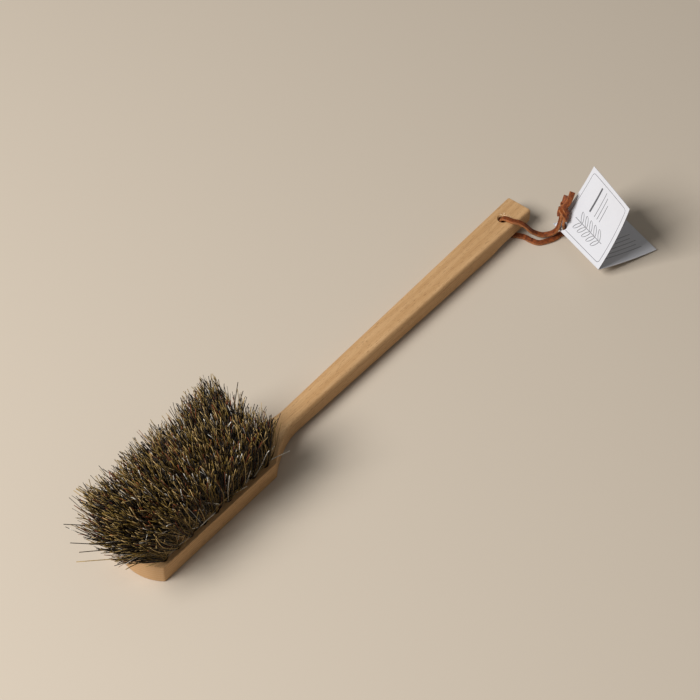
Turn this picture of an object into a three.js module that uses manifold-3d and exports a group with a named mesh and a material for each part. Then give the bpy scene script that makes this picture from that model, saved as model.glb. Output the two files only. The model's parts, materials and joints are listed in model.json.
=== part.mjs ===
// A long-handled boot brush, lying on its back with the bristles up.
// One beech board is both head and handle. Tufts of mixed plant fibre are folded over wire anchors and
// drawn into blind holes in three rows. A leather lace runs through the handle tip, is tied in one
// overhand knot, and carries a folded card tag on its lower strand.
// Millimetres. The origin is the middle of the head's flat back, +X runs to the handle tip, +Y to the
// far side and +Z up through the bristles.

import * as THREE from "three";
import { mergeVertices } from "three/addons/utils/BufferGeometryUtils.js";
import Module from "manifold-3d";

const wasm = await Module();
wasm.setup();

// Clearance between neighbouring pieces, how far a cutter runs past what it cuts, and the distance
// at which two corners count as one
const GAP = 0.3;
const CUT_PAST = 2;
const SAME_CORNER = 1e-4;

// Beech board: head, shoulders and handle in one piece
const BOARD_THICKNESS = 18;
const HEAD_HALF_WIDTH = 25;
const HEAD_FRONT_X = -70;
const HEAD_ARC_DEPTH = 9;
const HEAD_ARC_STEPS = 16;
const HEAD_EDGE_RADIUS = 0.6;
const SHOULDER_X = 70;
const NECK_X = 116;
const NECK_HALF_WIDTH = 8.6;
const TIP_X = 430;
const TIP_HALF_WIDTH = 12.6;
const NECK_EDGE_RADIUS = 4.5;
const TIP_EDGE_RADIUS = 3.2;
const TIP_END_RADIUS = 1.4;
const CORNER_STEPS = 4;
const SHOULDER_STEPS = 10;

// The underside of the tip is planed up a little, so that the lace runs below it
const RELIEF_START_X = 372;
const RELIEF_END_X = 394;
const RELIEF_DEPTH = 3.1;
const RELIEF_STEPS = 4;

// Hanging hole
const HANG_HOLE_X = 405;
const HANG_HOLE_RADIUS = 4;
const HANG_HOLE_CHAMFER = 1.1;
const HANG_HOLE_SIDES = 20;

// Tufts: three rows, the middle row half a pitch further forward
const TUFTS_PER_ROW = 9;
const TUFT_PITCH = 14.7;
const OUTER_ROW_FIRST_X = -54.3;
const ROW_OFFSET = 17.5;
const ROWS = [
  { name: "near", y: -ROW_OFFSET, firstX: OUTER_ROW_FIRST_X },
  { name: "middle", y: 0, firstX: OUTER_ROW_FIRST_X - TUFT_PITCH / 2 },
  { name: "far", y: ROW_OFFSET, firstX: OUTER_ROW_FIRST_X },
];
const TUFT_HOLE_RADIUS = 4.1;
const TUFT_HOLE_DEPTH = 12;
const TUFT_HOLE_SIDES = 12;
const TUFT_SIDES = 12;
const FIBRE_LENGTH = 50;
const FIBRE_LENGTH_ROUNDS = 12;
const CELL_GAP = 0.5;
const CELL_OUTER_HALF_WIDTH = 6.5;
const CELL_ROUNDNESS = 0.4;
const TUFT_LEVELS = [0, 0.1, 0.3, 0.6, 0.96];
const TUFT_CROWN = 0.82;

// How the fibres lean: forward at the toe, hardly at the heel, outward on the far side and less on the near
const LEAN_CENTRE_X = 12;
const TOE_LEAN = 46;
const TOE_REACH = 81;
const TOE_POWER = 1.4;
const HEEL_LEAN = 2;
const HEEL_REACH = 59;
const HEEL_POWER = 1.2;
const NEAR_LEAN_PER_MM = 0.15;
const FAR_LEAN_PER_MM = 0.85;
const LEAN_POWER = 1.15;

// Wire anchors, driven across the bottoms of the holes
const ANCHOR_LENGTH = 10;
const ANCHOR_THICKNESS = 0.6;
const ANCHOR_HEIGHT = 1.8;
const ANCHOR_LIFT = 0.6;

// Folded card tag, a square on each side of its spine. The spine runs from the tag's lower corner to the
// corner by the lace. A leaf rises from the spine at its lift, which changes from the lower corner to the
// top one, and curls up by its curl on the way out. Its card is on the outside of the fold.
const TAG_SIDE = 65;
const TAG_CARD = 0.4;
const TAG_CORNER = new THREE.Vector3(413.3, -97.9, 11.3);
const TAG_HEADING = THREE.MathUtils.degToRad(71);
const TAG_SPINE_RISE = -1.5;
const TAG_HOLE_RADIUS = 4;
const TAG_HOLE_FROM_TOP = 8;
const TAG_HOLE_FROM_SPINE = 5.8;
const TAG_HOLE_SIDES = 24;
const LEAF_ROWS = 6;
const LEAF_COLUMNS = 8;
const FRONT_LEAF = {
  lift: THREE.MathUtils.degToRad(56),
  topLift: THREE.MathUtils.degToRad(45),
  curl: THREE.MathUtils.degToRad(18),
  outside: 1,
};
const REAR_LEAF = {
  lift: THREE.MathUtils.degToRad(-14),
  topLift: THREE.MathUtils.degToRad(-14),
  curl: THREE.MathUtils.degToRad(11.4),
  outside: -1,
};

// Leather lace, as a round tube down the middle of the flat strip
const LACE_DIAMETER = 2.6;
const LACE_SIDES = 8;
const LACE_STEPS = 78;
const LACE_ROUTE = [
  [433.2, -42.2, 21.5],
  [431.2, -42.4, 17.3],
  [430.5, -42, 14.2],
  [429.8, -41.4, 11.2],
  [429.2, -40, 8.7],
  [427.9, -38.2, 6.5],
  [425.5, -35.4, 5.1],
  [422.2, -32.2, 4.7],
  [419.2, -28.4, 6.2],
  [415.4, -24.4, 9.9],
  [411.6, -20, 16.3],
  [408.5, -15.2, 19.8],
  [406, -9.8, 20.1],
  [405.2, -5.2, 20.2],
  [404.9, -0.5, 18.7],
  [404.9, 1.3, 15],
  [405, 0.5, 9.5],
  [405, 0.1, 5.2],
  [405.1, -1.4, 2.5],
  [405.6, -4.2, 1.55],
  [407.6, -9, 1.45],
  [410.6, -14.6, 1.45],
  [412.6, -20, 1.45],
  [412.8, -26.4, 1.45],
  [414.6, -33.4, 1.45],
  [421.6, -38.3, 1.45],
  [429.4, -41.4, 1.45],
  [435.8, -42, 1.45],
  [438.8, -43.8, 1.6],
  [439.1, -45.6, 2.7],
  [438.8, -46.2, 4.9],
  [437.5, -46.1, 7.1],
  [436.4, -45.9, 8.9],
  [436.3, -45.5, 11.4],
  [435.5, -45.2, 14.2],
  [434.6, -45.1, 16.6],
  [434, -45.2, 18.6],
  [434.5, -45.2, 20.9],
];

// Knot: two bulging wraps and two square-cut tails, on an axis that leans up from the strands
const KNOT_FOOT = new THREE.Vector3(434.3, -43.6, 22.2);
const KNOT_AXIS = new THREE.Vector3(0.68, 0.19, 0.708).normalize();
const KNOT_PROFILE = [
  [0, 0],
  [3.2, 0],
  [4.9, 2.2],
  [5.4, 4.8],
  [4.9, 6.8],
  [5.5, 9],
  [5.2, 11.4],
  [3.8, 13.6],
  [0, 14.6],
];
const KNOT_SIDES = 12;
const TAIL_WIDTH = 4.4;
const TAIL_THICKNESS = 2;
const TAIL_START = 10;
const TAILS = [
  { end: 25.5, side: -2, turn: 0.04 },
  { end: 21, side: 2.4, turn: -0.1 },
];

const UP = new THREE.Vector3(0, 0, 1);

const materials = {
  beech: new THREE.MeshStandardMaterial({ color: 0xc59a66, roughness: 0.62, metalness: 0 }),
  fibre: new THREE.MeshStandardMaterial({ color: 0x4a3d26, roughness: 0.75, metalness: 0 }),
  wire: new THREE.MeshStandardMaterial({ color: 0xb9bbbd, roughness: 0.35, metalness: 1 }),
  leather: new THREE.MeshStandardMaterial({ color: 0x8a4420, roughness: 0.6, metalness: 0 }),
  card: new THREE.MeshStandardMaterial({ color: 0xe9e9ee, roughness: 0.8, metalness: 0 }),
};

const brush = new THREE.Group();

function addPiece(name, geometry, material, parent = brush) {
  const mesh = new THREE.Mesh(geometry, material);
  mesh.name = name;
  parent.add(mesh);
  return mesh;
}

// A closed geometry as a solid that can be cut and joined
function toSolid(geometry) {
  const bare = geometry.clone();
  bare.deleteAttribute("normal");
  bare.deleteAttribute("uv");
  const merged = mergeVertices(bare, SAME_CORNER);
  return new wasm.Manifold(
    new wasm.Mesh({
      numProp: 3,
      vertProperties: new Float32Array(merged.attributes.position.array),
      triVerts: new Uint32Array(merged.index.array),
    }),
  );
}

function toGeometry(solid) {
  const mesh = solid.getMesh();
  const geometry = new THREE.BufferGeometry();
  geometry.setAttribute("position", new THREE.BufferAttribute(mesh.vertProperties, 3));
  geometry.setIndex(new THREE.BufferAttribute(mesh.triVerts, 1));
  geometry.computeVertexNormals();
  return geometry;
}

// A closed skin over convex rings of equal count, each turning anticlockwise about the way they advance
function loft(rings) {
  const count = rings[0].length;
  const last = (rings.length - 1) * count;
  const faces = [];
  for (let i = 0; i + 1 < rings.length; i++) {
    for (let j = 0; j < count; j++) {
      const k = (j + 1) % count;
      const a = i * count + j;
      const b = i * count + k;
      faces.push(a, b, b + count, a, b + count, a + count);
    }
  }
  for (let j = 1; j + 1 < count; j++) {
    faces.push(0, j + 1, j, last, last + j, last + j + 1);
  }
  const geometry = new THREE.BufferGeometry();
  geometry.setFromPoints(rings.flat());
  geometry.setIndex(faces);
  return geometry;
}

function box(sizeX, sizeY, lowZ, highZ) {
  return new THREE.BoxGeometry(sizeX, sizeY, highZ - lowZ).translate(0, 0, (lowZ + highZ) / 2);
}

// A plug along Z, for drilling: its two radii may differ, as a countersink's do
function drill(lowRadius, highRadius, lowZ, highZ, sides) {
  return new THREE.CylinderGeometry(highRadius, lowRadius, highZ - lowZ, sides)
    .rotateX(Math.PI / 2)
    .translate(0, 0, (lowZ + highZ) / 2);
}

function smooth(t) {
  const s = THREE.MathUtils.clamp(t, 0, 1);
  return s * s * (3 - 2 * s);
}

// A value that changes evenly from the neck to the tip
function alongHandle(x, atNeck, atTip) {
  return THREE.MathUtils.lerp(atNeck, atTip, Math.max(0, (x - NECK_X) / (TIP_X - NECK_X)));
}

// Half the board's width at x: full on the head, a concave shoulder, then a slow flare to the tip
function boardHalfWidth(x) {
  if (x <= SHOULDER_X) return HEAD_HALF_WIDTH;
  const beforeNeck = Math.max(0, (NECK_X - x) / (NECK_X - SHOULDER_X));
  const shoulder = (HEAD_HALF_WIDTH - NECK_HALF_WIDTH) * beforeNeck ** 2;
  return alongHandle(x, NECK_HALF_WIDTH, TIP_HALF_WIDTH) + shoulder;
}

// The board's section at x: a rectangle whose edges grow round along the shoulder, drawn in at the tip
function boardRing(x, inset = 0) {
  const halfWidth = boardHalfWidth(x) - inset;
  const low = RELIEF_DEPTH * smooth((x - RELIEF_START_X) / (RELIEF_END_X - RELIEF_START_X)) + inset;
  const high = BOARD_THICKNESS - inset;
  const rounding = smooth((x - SHOULDER_X) / (NECK_X - SHOULDER_X));
  const handleRadius = alongHandle(x, NECK_EDGE_RADIUS, TIP_EDGE_RADIUS);
  const radius = THREE.MathUtils.lerp(HEAD_EDGE_RADIUS, handleRadius, rounding);
  const ring = [];
  for (let corner = 0; corner < 4; corner++) {
    const right = corner === 0 || corner === 3;
    const upper = corner < 2;
    const centreY = (right ? 1 : -1) * (halfWidth - radius);
    const centreZ = upper ? high - radius : low + radius;
    for (let step = 0; step <= CORNER_STEPS; step++) {
      const angle = ((corner + step / CORNER_STEPS) * Math.PI) / 2;
      const y = centreY + radius * Math.cos(angle);
      const z = centreZ + radius * Math.sin(angle);
      ring.push(new THREE.Vector3(x, y, z));
    }
  }
  return ring;
}

// Everything behind the head's convex front end, as an upright prism
function behindFrontArc() {
  const reach = HEAD_HALF_WIDTH + CUT_PAST;
  const radius = (HEAD_HALF_WIDTH ** 2 + HEAD_ARC_DEPTH ** 2) / (2 * HEAD_ARC_DEPTH);
  const spread = Math.asin(reach / radius);
  const shape = new THREE.Shape();
  shape.absarc(HEAD_FRONT_X + radius, 0, radius, Math.PI - spread, Math.PI + spread, false);
  shape.lineTo(TIP_X + reach, -reach);
  shape.lineTo(TIP_X + reach, reach);
  const depth = BOARD_THICKNESS + 2 * CUT_PAST;
  const options = { depth, bevelEnabled: false, curveSegments: HEAD_ARC_STEPS };
  return new THREE.ExtrudeGeometry(shape, options).translate(0, 0, -CUT_PAST);
}

function tuftPlaces() {
  return ROWS.flatMap((row) =>
    Array.from({ length: TUFTS_PER_ROW }, (_, index) => ({
      name: `${row.name}_${index + 1}`,
      x: row.firstX + index * TUFT_PITCH,
      y: row.y,
    })),
  );
}

function makeBoard() {
  const shoulder = Array.from(
    { length: SHOULDER_STEPS + 1 },
    (_, i) => SHOULDER_X + ((NECK_X - SHOULDER_X) * i) / SHOULDER_STEPS,
  );
  const relief = Array.from(
    { length: RELIEF_STEPS + 1 },
    (_, i) => RELIEF_START_X + ((RELIEF_END_X - RELIEF_START_X) * i) / RELIEF_STEPS,
  );
  const rings = [HEAD_FRONT_X - CUT_PAST, ...shoulder, ...relief].map((x) => boardRing(x));
  for (let step = 0; step <= CORNER_STEPS; step++) {
    const angle = ((step / CORNER_STEPS) * Math.PI) / 2;
    const x = TIP_X - TIP_END_RADIUS * (1 - Math.sin(angle));
    rings.push(boardRing(x, TIP_END_RADIUS * (1 - Math.cos(angle))));
  }
  let board = toSolid(loft(rings)).intersect(toSolid(behindFrontArc()));
  const floor = BOARD_THICKNESS - TUFT_HOLE_DEPTH;
  const above = BOARD_THICKNESS + CUT_PAST;
  const hole = drill(TUFT_HOLE_RADIUS, TUFT_HOLE_RADIUS, floor, above, TUFT_HOLE_SIDES);
  const notchLow = floor + ANCHOR_LIFT - GAP;
  const notchHigh = floor + ANCHOR_LIFT + ANCHOR_HEIGHT + GAP;
  const notch = box(ANCHOR_LENGTH + 2 * GAP, ANCHOR_THICKNESS + 2 * GAP, notchLow, notchHigh);
  const socket = toSolid(hole).add(toSolid(notch));
  for (const place of tuftPlaces()) {
    board = board.subtract(socket.translate([place.x, place.y, 0]));
  }
  const wide = HANG_HOLE_RADIUS + HANG_HOLE_CHAMFER + CUT_PAST;
  const below = RELIEF_DEPTH - CUT_PAST;
  const bore = drill(HANG_HOLE_RADIUS, HANG_HOLE_RADIUS, below, above, HANG_HOLE_SIDES);
  const upperFoot = BOARD_THICKNESS - HANG_HOLE_CHAMFER;
  const upper = drill(HANG_HOLE_RADIUS, wide, upperFoot, above, HANG_HOLE_SIDES);
  const lowerHead = RELIEF_DEPTH + HANG_HOLE_CHAMFER;
  const lower = drill(wide, HANG_HOLE_RADIUS, below, lowerHead, HANG_HOLE_SIDES);
  const hangHole = toSolid(bore).add(toSolid(upper)).add(toSolid(lower));
  return toGeometry(board.subtract(hangHole.translate([HANG_HOLE_X, 0, 0])));
}

// How far a fibre whose root is at (x, y) has leaned once it is `rise` above the board
function lean(x, y, rise) {
  const share = Math.max(0, rise / FIBRE_LENGTH) ** LEAN_POWER;
  const ahead = LEAN_CENTRE_X - x;
  const along =
    ahead > 0
      ? -TOE_LEAN * (ahead / TOE_REACH) ** TOE_POWER
      : HEEL_LEAN * (-ahead / HEEL_REACH) ** HEEL_POWER;
  const outward = y * (y > 0 ? FAR_LEAN_PER_MM : NEAR_LEAN_PER_MM);
  return { x: along * share, y: outward * share };
}

// The height at which a fibre of the full length ends
function tipRise(x, y) {
  let rise = FIBRE_LENGTH;
  for (let turn = 0; turn < FIBRE_LENGTH_ROUNDS; turn++) {
    const away = lean(x, y, rise);
    rise = Math.sqrt(Math.max(1, FIBRE_LENGTH ** 2 - away.x ** 2 - away.y ** 2));
  }
  return rise;
}

// One tuft: a round folded root in its hole, opening into a leaning sheaf that fills its own cell
function makeTuft(place) {
  const rootRadius = TUFT_HOLE_RADIUS - GAP;
  const rootFloor = BOARD_THICKNESS - TUFT_HOLE_DEPTH + GAP;
  const inner = ROW_OFFSET / 2 - CELL_GAP;
  const outerCentre = ROW_OFFSET / 2 + CELL_GAP + CELL_OUTER_HALF_WIDTH;
  const centreY = Math.sign(place.y) * outerCentre;
  const halfY = place.y === 0 ? inner : CELL_OUTER_HALF_WIDTH;
  const halfX = TUFT_PITCH / 2 - CELL_GAP;
  const top = tipRise(place.x, place.y);

  const ringAt = (z, opening, size = 1) =>
    Array.from({ length: TUFT_SIDES }, (_, j) => {
      const angle = (2 * Math.PI * (j + 0.5)) / TUFT_SIDES;
      const c = Math.cos(angle);
      const s = Math.sin(angle);
      const squareX = Math.sign(c) * Math.abs(c) ** CELL_ROUNDNESS * halfX * size;
      const squareY = Math.sign(s) * Math.abs(s) ** CELL_ROUNDNESS * halfY * size + centreY - place.y;
      const x = place.x + THREE.MathUtils.lerp(rootRadius * c, squareX, opening);
      const y = place.y + THREE.MathUtils.lerp(rootRadius * s, squareY, opening);
      const away = lean(x, y, z - BOARD_THICKNESS);
      return new THREE.Vector3(x + away.x, y + away.y, z);
    });

  const rings = [ringAt(rootFloor, 0)];
  for (const level of TUFT_LEVELS) {
    rings.push(ringAt(BOARD_THICKNESS + GAP + (top - GAP) * level, Math.sqrt(level)));
  }
  rings.push(ringAt(BOARD_THICKNESS + top, 1, TUFT_CROWN));

  const foldTop = BOARD_THICKNESS - TUFT_HOLE_DEPTH + ANCHOR_LIFT + ANCHOR_HEIGHT + 2 * GAP;
  const foldLength = 2 * (TUFT_HOLE_RADIUS + CUT_PAST);
  const fold = box(foldLength, ANCHOR_THICKNESS + 2 * GAP, rootFloor - CUT_PAST, foldTop);
  return toGeometry(toSolid(loft(rings)).subtract(toSolid(fold.translate(place.x, place.y, 0))));
}

function makeLace() {
  const section = new THREE.Shape();
  for (let j = 0; j < LACE_SIDES; j++) {
    const angle = (2 * Math.PI * (j + 0.5)) / LACE_SIDES;
    const x = (LACE_DIAMETER / 2) * Math.cos(angle);
    const y = (LACE_DIAMETER / 2) * Math.sin(angle);
    if (j === 0) section.moveTo(x, y);
    else section.lineTo(x, y);
  }
  const route = new THREE.CatmullRomCurve3(LACE_ROUTE.map((p) => new THREE.Vector3(...p)));
  return new THREE.ExtrudeGeometry(section, { steps: LACE_STEPS, extrudePath: route });
}

function makeKnot() {
  const profile = KNOT_PROFILE.map(([radius, along]) => new THREE.Vector2(radius, along));
  let knot = toSolid(new THREE.LatheGeometry(profile, KNOT_SIDES).rotateX(Math.PI / 2));
  for (const tail of TAILS) {
    const strip = box(TAIL_THICKNESS, TAIL_WIDTH, 0, tail.end - TAIL_START);
    strip.rotateX(tail.turn).translate(0, tail.side, TAIL_START);
    knot = knot.add(toSolid(strip));
  }
  return toGeometry(knot);
}

// A point of a leaf, t up the spine and l out from it, and the slope of the leaf there
function leafPoint(leaf, t, l) {
  const start = THREE.MathUtils.lerp(leaf.lift, leaf.topLift, t / TAG_SIDE);
  const bend = leaf.curl / TAG_SIDE;
  const slope = start + bend * l;
  const out = (Math.sin(slope) - Math.sin(start)) / bend;
  const up = (Math.cos(start) - Math.cos(slope)) / bend;
  return { point: new THREE.Vector3(out, t, up), slope };
}

// One leaf of the tag, with the spine along Y: an inner and an outer sheet, the rim between and the hole
function makeLeaf(leaf) {
  const inner = [];
  const outer = [];
  for (let i = 0; i <= LEAF_ROWS; i++) {
    for (let j = 0; j <= LEAF_COLUMNS; j++) {
      const outAt = THREE.MathUtils.lerp(GAP, TAG_SIDE, j / LEAF_COLUMNS);
      const { point, slope } = leafPoint(leaf, (TAG_SIDE * i) / LEAF_ROWS, outAt);
      const normal = new THREE.Vector3(-Math.sin(slope), 0, Math.cos(slope));
      inner.push(point);
      outer.push(point.clone().addScaledVector(normal, leaf.outside * TAG_CARD));
    }
  }
  const width = LEAF_COLUMNS + 1;
  const sheet = inner.length;
  const faces = [];
  for (let i = 0; i < LEAF_ROWS; i++) {
    for (let j = 0; j < LEAF_COLUMNS; j++) {
      const a = i * width + j;
      const b = a + width;
      faces.push(a, b, b + 1, a, b + 1, a + 1);
      faces.push(sheet + a, sheet + b + 1, sheet + b, sheet + a, sheet + a + 1, sheet + b + 1);
    }
  }
  const lastRow = LEAF_ROWS * width;
  const rim = [];
  for (let j = 0; j < LEAF_COLUMNS; j++) rim.push(j);
  for (let i = 0; i < LEAF_ROWS; i++) rim.push(i * width + LEAF_COLUMNS);
  for (let j = LEAF_COLUMNS; j > 0; j--) rim.push(lastRow + j);
  for (let i = LEAF_ROWS; i > 0; i--) rim.push(i * width);
  rim.forEach((a, index) => {
    const b = rim[(index + 1) % rim.length];
    faces.push(a, b, sheet + b, a, sheet + b, sheet + a);
  });
  const sheets = leaf.outside > 0 ? [...inner, ...outer] : [...outer, ...inner];
  const card = new THREE.BufferGeometry().setFromPoints(sheets);
  card.setIndex(faces);

  const { point, slope } = leafPoint(leaf, TAG_SIDE - TAG_HOLE_FROM_TOP, TAG_HOLE_FROM_SPINE);
  const punch = drill(TAG_HOLE_RADIUS, TAG_HOLE_RADIUS, -CUT_PAST, CUT_PAST, TAG_HOLE_SIDES);
  punch.rotateY(-slope).translate(point.x, point.y, point.z);
  return toGeometry(toSolid(card).subtract(toSolid(punch)));
}

addPiece("beech_board", makeBoard(), materials.beech);

for (const place of tuftPlaces()) {
  addPiece(`tuft_${place.name}`, makeTuft(place), materials.fibre);
  const low = BOARD_THICKNESS - TUFT_HOLE_DEPTH + ANCHOR_LIFT;
  const wire = box(ANCHOR_LENGTH, ANCHOR_THICKNESS, low, low + ANCHOR_HEIGHT);
  addPiece(`anchor_${place.name}`, wire, materials.wire).position.set(place.x, place.y, 0);
}

addPiece("hanging_lace", makeLace(), materials.leather);

const knot = addPiece("lace_knot", makeKnot(), materials.leather);
knot.position.copy(KNOT_FOOT);
knot.quaternion.setFromUnitVectors(UP, KNOT_AXIS);

// The tag's own axes: X level and out to the right of the spine, Y up the spine
const tag = new THREE.Group();
const spineDirection = new THREE.Vector3(Math.cos(TAG_HEADING), Math.sin(TAG_HEADING), 0)
  .multiplyScalar(TAG_SIDE)
  .setZ(TAG_SPINE_RISE)
  .normalize();
const leafDirection = new THREE.Vector3(Math.sin(TAG_HEADING), -Math.cos(TAG_HEADING), 0);
const tagUp = new THREE.Vector3().crossVectors(leafDirection, spineDirection);
tag.matrix.makeBasis(leafDirection, spineDirection, tagUp).setPosition(TAG_CORNER);
tag.matrix.decompose(tag.position, tag.quaternion, tag.scale);
brush.add(tag);
addPiece("tag_rear_leaf", makeLeaf(REAR_LEAF), materials.card, tag);
addPiece("tag_front_leaf", makeLeaf(FRONT_LEAF), materials.card, tag);

export default brush;
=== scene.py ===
"""The looks of a long-handled boot brush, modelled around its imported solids.

The beech board, the fibre tufts, the leather lace with its knot and the folded card tag are fine meshes in
the frame of the solids that they stand for. The file is laid out as an add-on: the sizes and colours are
properties, and each group of like pieces has one operator.
"""

import json
import math

import bpy
import numpy as np
from bpy.props import FloatProperty, FloatVectorProperty, IntProperty, PointerProperty
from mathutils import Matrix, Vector


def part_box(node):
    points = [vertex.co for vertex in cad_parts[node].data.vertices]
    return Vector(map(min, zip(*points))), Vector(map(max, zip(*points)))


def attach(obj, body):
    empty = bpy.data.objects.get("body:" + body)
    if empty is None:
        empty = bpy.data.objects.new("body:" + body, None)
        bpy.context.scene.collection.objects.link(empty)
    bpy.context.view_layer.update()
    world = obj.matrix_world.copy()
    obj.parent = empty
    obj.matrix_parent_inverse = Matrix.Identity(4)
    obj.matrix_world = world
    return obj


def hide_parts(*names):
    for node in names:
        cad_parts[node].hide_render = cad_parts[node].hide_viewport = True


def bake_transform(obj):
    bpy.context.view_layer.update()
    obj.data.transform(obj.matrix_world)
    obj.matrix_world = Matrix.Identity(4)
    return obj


bl_info = {
    "name": "Boot Brush",
    "version": (1, 0, 0),
    "blender": (4, 5, 0),
    "location": "View3D > Sidebar > Boot Brush",
    "description": "Builds a long-handled boot brush with its lace and tag",
    "category": "Add Mesh",
}

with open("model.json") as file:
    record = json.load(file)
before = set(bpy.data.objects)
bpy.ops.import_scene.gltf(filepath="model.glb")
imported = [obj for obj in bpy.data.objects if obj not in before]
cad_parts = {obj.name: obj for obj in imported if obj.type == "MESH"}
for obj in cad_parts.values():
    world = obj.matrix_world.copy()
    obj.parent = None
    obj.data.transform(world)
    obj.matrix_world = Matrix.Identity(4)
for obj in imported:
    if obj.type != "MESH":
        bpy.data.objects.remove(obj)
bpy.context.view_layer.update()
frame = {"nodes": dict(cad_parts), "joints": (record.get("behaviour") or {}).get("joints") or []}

BOARD_LOW, BOARD_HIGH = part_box("beech_board")
JOINTS = {joint["name"]: joint for joint in frame["joints"]}
MM = 0.001

# The lace's middle line, from the knot over the board's edge, down the hanging hole, out under the board,
# through the tag's two holes and back to the knot, in metres
LACE_ROUTE = [
    (0.4332, -0.0422, 0.0215),
    (0.4312, -0.0424, 0.0173),
    (0.4305, -0.0420, 0.0142),
    (0.4298, -0.0414, 0.0112),
    (0.4292, -0.0400, 0.0087),
    (0.4279, -0.0382, 0.0065),
    (0.4255, -0.0354, 0.0051),
    (0.4222, -0.0322, 0.0047),
    (0.4192, -0.0284, 0.0062),
    (0.4154, -0.0244, 0.0099),
    (0.4116, -0.0200, 0.0163),
    (0.4085, -0.0152, 0.0198),
    (0.4060, -0.0098, 0.0201),
    (0.4052, -0.0052, 0.0202),
    (0.4049, -0.0005, 0.0187),
    (0.4049, 0.0013, 0.0150),
    (0.4050, 0.0005, 0.0095),
    (0.4050, 0.0001, 0.0052),
    (0.4051, -0.0014, 0.0025),
    (0.4056, -0.0042, 0.00155),
    (0.4076, -0.0090, 0.00145),
    (0.4106, -0.0146, 0.00145),
    (0.4126, -0.0200, 0.00145),
    (0.4128, -0.0264, 0.00145),
    (0.4146, -0.0334, 0.00145),
    (0.4216, -0.0383, 0.00145),
    (0.4294, -0.0414, 0.00145),
    (0.4358, -0.0420, 0.00145),
    (0.4388, -0.0438, 0.0016),
    (0.4391, -0.0456, 0.0027),
    (0.4388, -0.0462, 0.0049),
    (0.4375, -0.0461, 0.0071),
    (0.4364, -0.0459, 0.0089),
    (0.4363, -0.0455, 0.0114),
    (0.4355, -0.0452, 0.0142),
    (0.4346, -0.0451, 0.0166),
    (0.4340, -0.0452, 0.0186),
    (0.4345, -0.0452, 0.0209),
]
HOLE_POINT = 16  # the route's point in the middle of the hanging hole

# Kinds of fibre, their shares in a tuft and among the loose fibres beside it, and the points along a fibre
FIBRE_KINDS = ("black", "umber", "olive", "straw", "russet", "ash", "bleached_and_painted_light")
FIBRE_SHARES = (0.44, 0.12, 0.25, 0.115, 0.05, 0.015, 0.01)
# The loose fibres are paler, partly for real and partly as painted light, since they lie in shade yet look
# lit
LOOSE_SHARES = (0.03, 0.05, 0.22, 0.46, 0.02, 0.11, 0.11)
FIBRE_LEVELS = 9

# Places along the far side where the used fibres have parted
PARTINGS = (0.032, -0.010)

# Single fibres that stand clear of their tufts: the tuft, the tip's place in metres and the colour
STRAYS = (
    ("near_9", (0.0830, -0.0282, 0.0240), "bleached_and_painted_light"),
    ("near_9", (0.0735, -0.0205, 0.0330), "bleached_and_painted_light"),
    ("near_6", (0.0370, -0.0232, 0.0200), "bleached_and_painted_light"),
    ("near_1", (-0.0420, -0.0222, 0.0215), "straw"),
    ("far_1", (-0.0960, 0.0420, 0.0530), "black"),
    ("middle_1", (-0.1030, 0.0290, 0.0480), "black"),
    ("middle_1", (-0.1030, 0.0200, 0.0440), "umber"),
    ("near_1", (-0.1050, 0.0230, 0.0310), "straw"),
    ("far_4", (-0.0240, 0.0520, 0.0630), "black"),
    ("far_9", (0.0835, 0.0250, 0.0680), "umber"),
    ("far_9", (0.0805, 0.0170, 0.0660), "umber"),
    ("middle_9", (0.0775, -0.0010, 0.0655), "black"),
)


def length(name, default, description):
    """A property that holds a size in metres."""
    return FloatProperty(name=name, description=description, default=default, unit="LENGTH", precision=5)


def share(name, default, description):
    """A property that holds a plain number."""
    return FloatProperty(name=name, description=description, default=default)


def whole(name, default, description):
    """A property that holds a whole number."""
    return IntProperty(name=name, description=description, default=default, min=1)


def angle(name, degrees, description):
    """A property that holds an angle, given in degrees."""
    return FloatProperty(name=name, description=description, default=math.radians(degrees), subtype="ANGLE")


def tint(name, default, description):
    """A property that holds a linear colour."""
    return FloatVectorProperty(
        name=name, description=description, default=default, subtype="COLOR", size=3, min=0, max=1
    )


def point(name, default, description):
    """A property that holds a place in metres."""
    return FloatVectorProperty(
        name=name, description=description, default=default, subtype="XYZ", unit="LENGTH"
    )


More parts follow.
